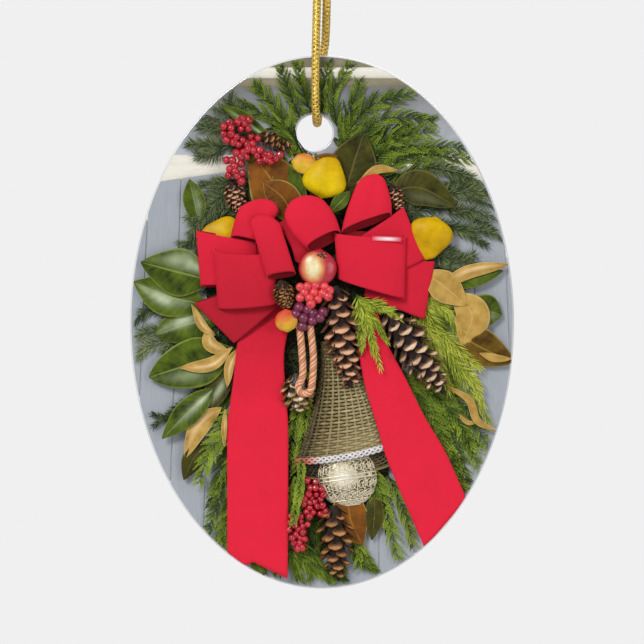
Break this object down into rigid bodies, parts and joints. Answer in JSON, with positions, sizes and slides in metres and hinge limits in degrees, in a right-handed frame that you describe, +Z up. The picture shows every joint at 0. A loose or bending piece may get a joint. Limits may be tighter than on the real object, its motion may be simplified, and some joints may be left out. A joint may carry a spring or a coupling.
{
  "type": "hanging oval ceramic ornament",
  "caption": "Flat oval ceramic ornament on a gold cord loop, its face showing a Christmas door swag with a red bow and a wicker bell in low relief.",
  "frame": {"origin": "top of the knot in the hanging cord, where the ornament is held up", "axes": "+Z up along the oval's long axis, the decorated face looks along -Y, +X to the right seen from the front"},
  "size_m": [0.0706, 0.0121, 0.1211],
  "materials": {
    "glaze": "white glazed ceramic, glossy",
    "board_paint": "blue-grey painted boards",
    "trim_paint": "cream painted moulding",
    "cedar": "flat cedar sprays, mid green",
    "fir": "dark blue-green fir needles",
    "cypress": "bright yellow-green sprigs",
    "leaf": "glossy magnolia leaf with veins",
    "leaf_underside": "tan velvety leaf underside",
    "pear": "waxy yellow pear",
    "apple": "red and yellow apple, waxy",
    "peach": "orange and pink fruit",
    "red_berry": "glossy dark red berries",
    "coral_berry": "glossy coral berries",
    "purple_berry": "glossy purple berries",
    "cone": "dark brown scales with pale tips",
    "ribbon": "bright red velvet",
    "wicker": "olive tan woven cane",
    "rim": "white twisted cane edging",
    "filigree": "pale champagne filigree metal",
    "rope": "twisted coral, cream and olive rope",
    "gold_cord": "metallic gold braid"
  },
  "bodies": {
    "root": {"cord_ends": "gold_cord"},
    "knot": {"cord_knot": "gold_cord"},
    "cord": {"hanging_cord": "gold_cord"},
    "ornament": {"ceramic_disc": "glaze", "door_boards": "board_paint", "door_trim_top": "trim_paint", "door_trim_cross": "trim_paint", "cedar_top": "cedar", "cedar_right_low": "cedar", "cedar_left_low": "cedar", "cedar_bottom": "cedar", "fir_left": "fir", "fir_right": "fir", "bough_core": "fir", "cypress_right": "cypress", "cypress_centre": "cypress", "leaf_left_upper": "leaf", "leaf_left_lower": "leaf", "leaf_left_curled": "leaf", "leaf_left_diagonal": "leaf", "leaf_behind_pear": "leaf", "leaf_right_dark": "leaf", "leaf_left_tan": "leaf_underside", "leaf_brown_folded": "leaf_underside", "leaf_right_tan": "leaf_underside", "leaf_right_orange": "leaf_underside", "leaf_right_brown": "leaf_underside", "leaf_below_ball": "leaf_underside", "pear_upper": "pear", "pear_left": "pear", "pear_right": "pear", "apple_centre": "apple", "crab_apple_upper": "peach", "peach_centre": "peach", "berries_red_upper": "red_berry", "berries_red_lower": "red_berry", "berries_coral": "coral_berry", "berries_purple": "purple_berry", "cone_centre": "cone", "cone_right": "cone", "cone_bottom": "cone", "cone_left_round": "cone", "cone_gold_tipped": "cone", "bow_loop_far_left": "ribbon", "bow_loop_lower_left": "ribbon", "bow_loop_upper_left": "ribbon", "bow_loop_centre_left": "ribbon", "bow_loop_left_front": "ribbon", "bow_loop_top": "ribbon", "bow_loop_top_right": "ribbon", "bow_loop_right_upper": "ribbon", "bow_loop_right_lower": "ribbon", "bow_loop_right_front": "ribbon", "bow_tail_left": "ribbon", "bow_tail_right": "ribbon", "bell_wicker_body": "wicker", "bell_mouth": "wicker", "bell_twisted_rim": "rim", "bell_clapper_ball": "filigree", "rope_loop": "rope"}
  },
  "joints": [
    {"name": "cord_turn", "type": "hinge", "parent": "root", "child": "knot", "pos_m": [0, 0, 0], "axis": [0, 0, 1], "range_deg": [-180, 180]},
    {"name": "cord_swing", "type": "hinge", "parent": "knot", "child": "cord", "pos_m": [0, 0, -0.0022], "axis": [1, 0, 0], "range_deg": [-60, 60]},
    {"name": "disc_rock", "type": "hinge", "parent": "cord", "child": "ornament", "pos_m": [-0.0009, 0, -0.02835], "axis": [0, 1, 0], "range_deg": [-30, 30]}
  ]
}
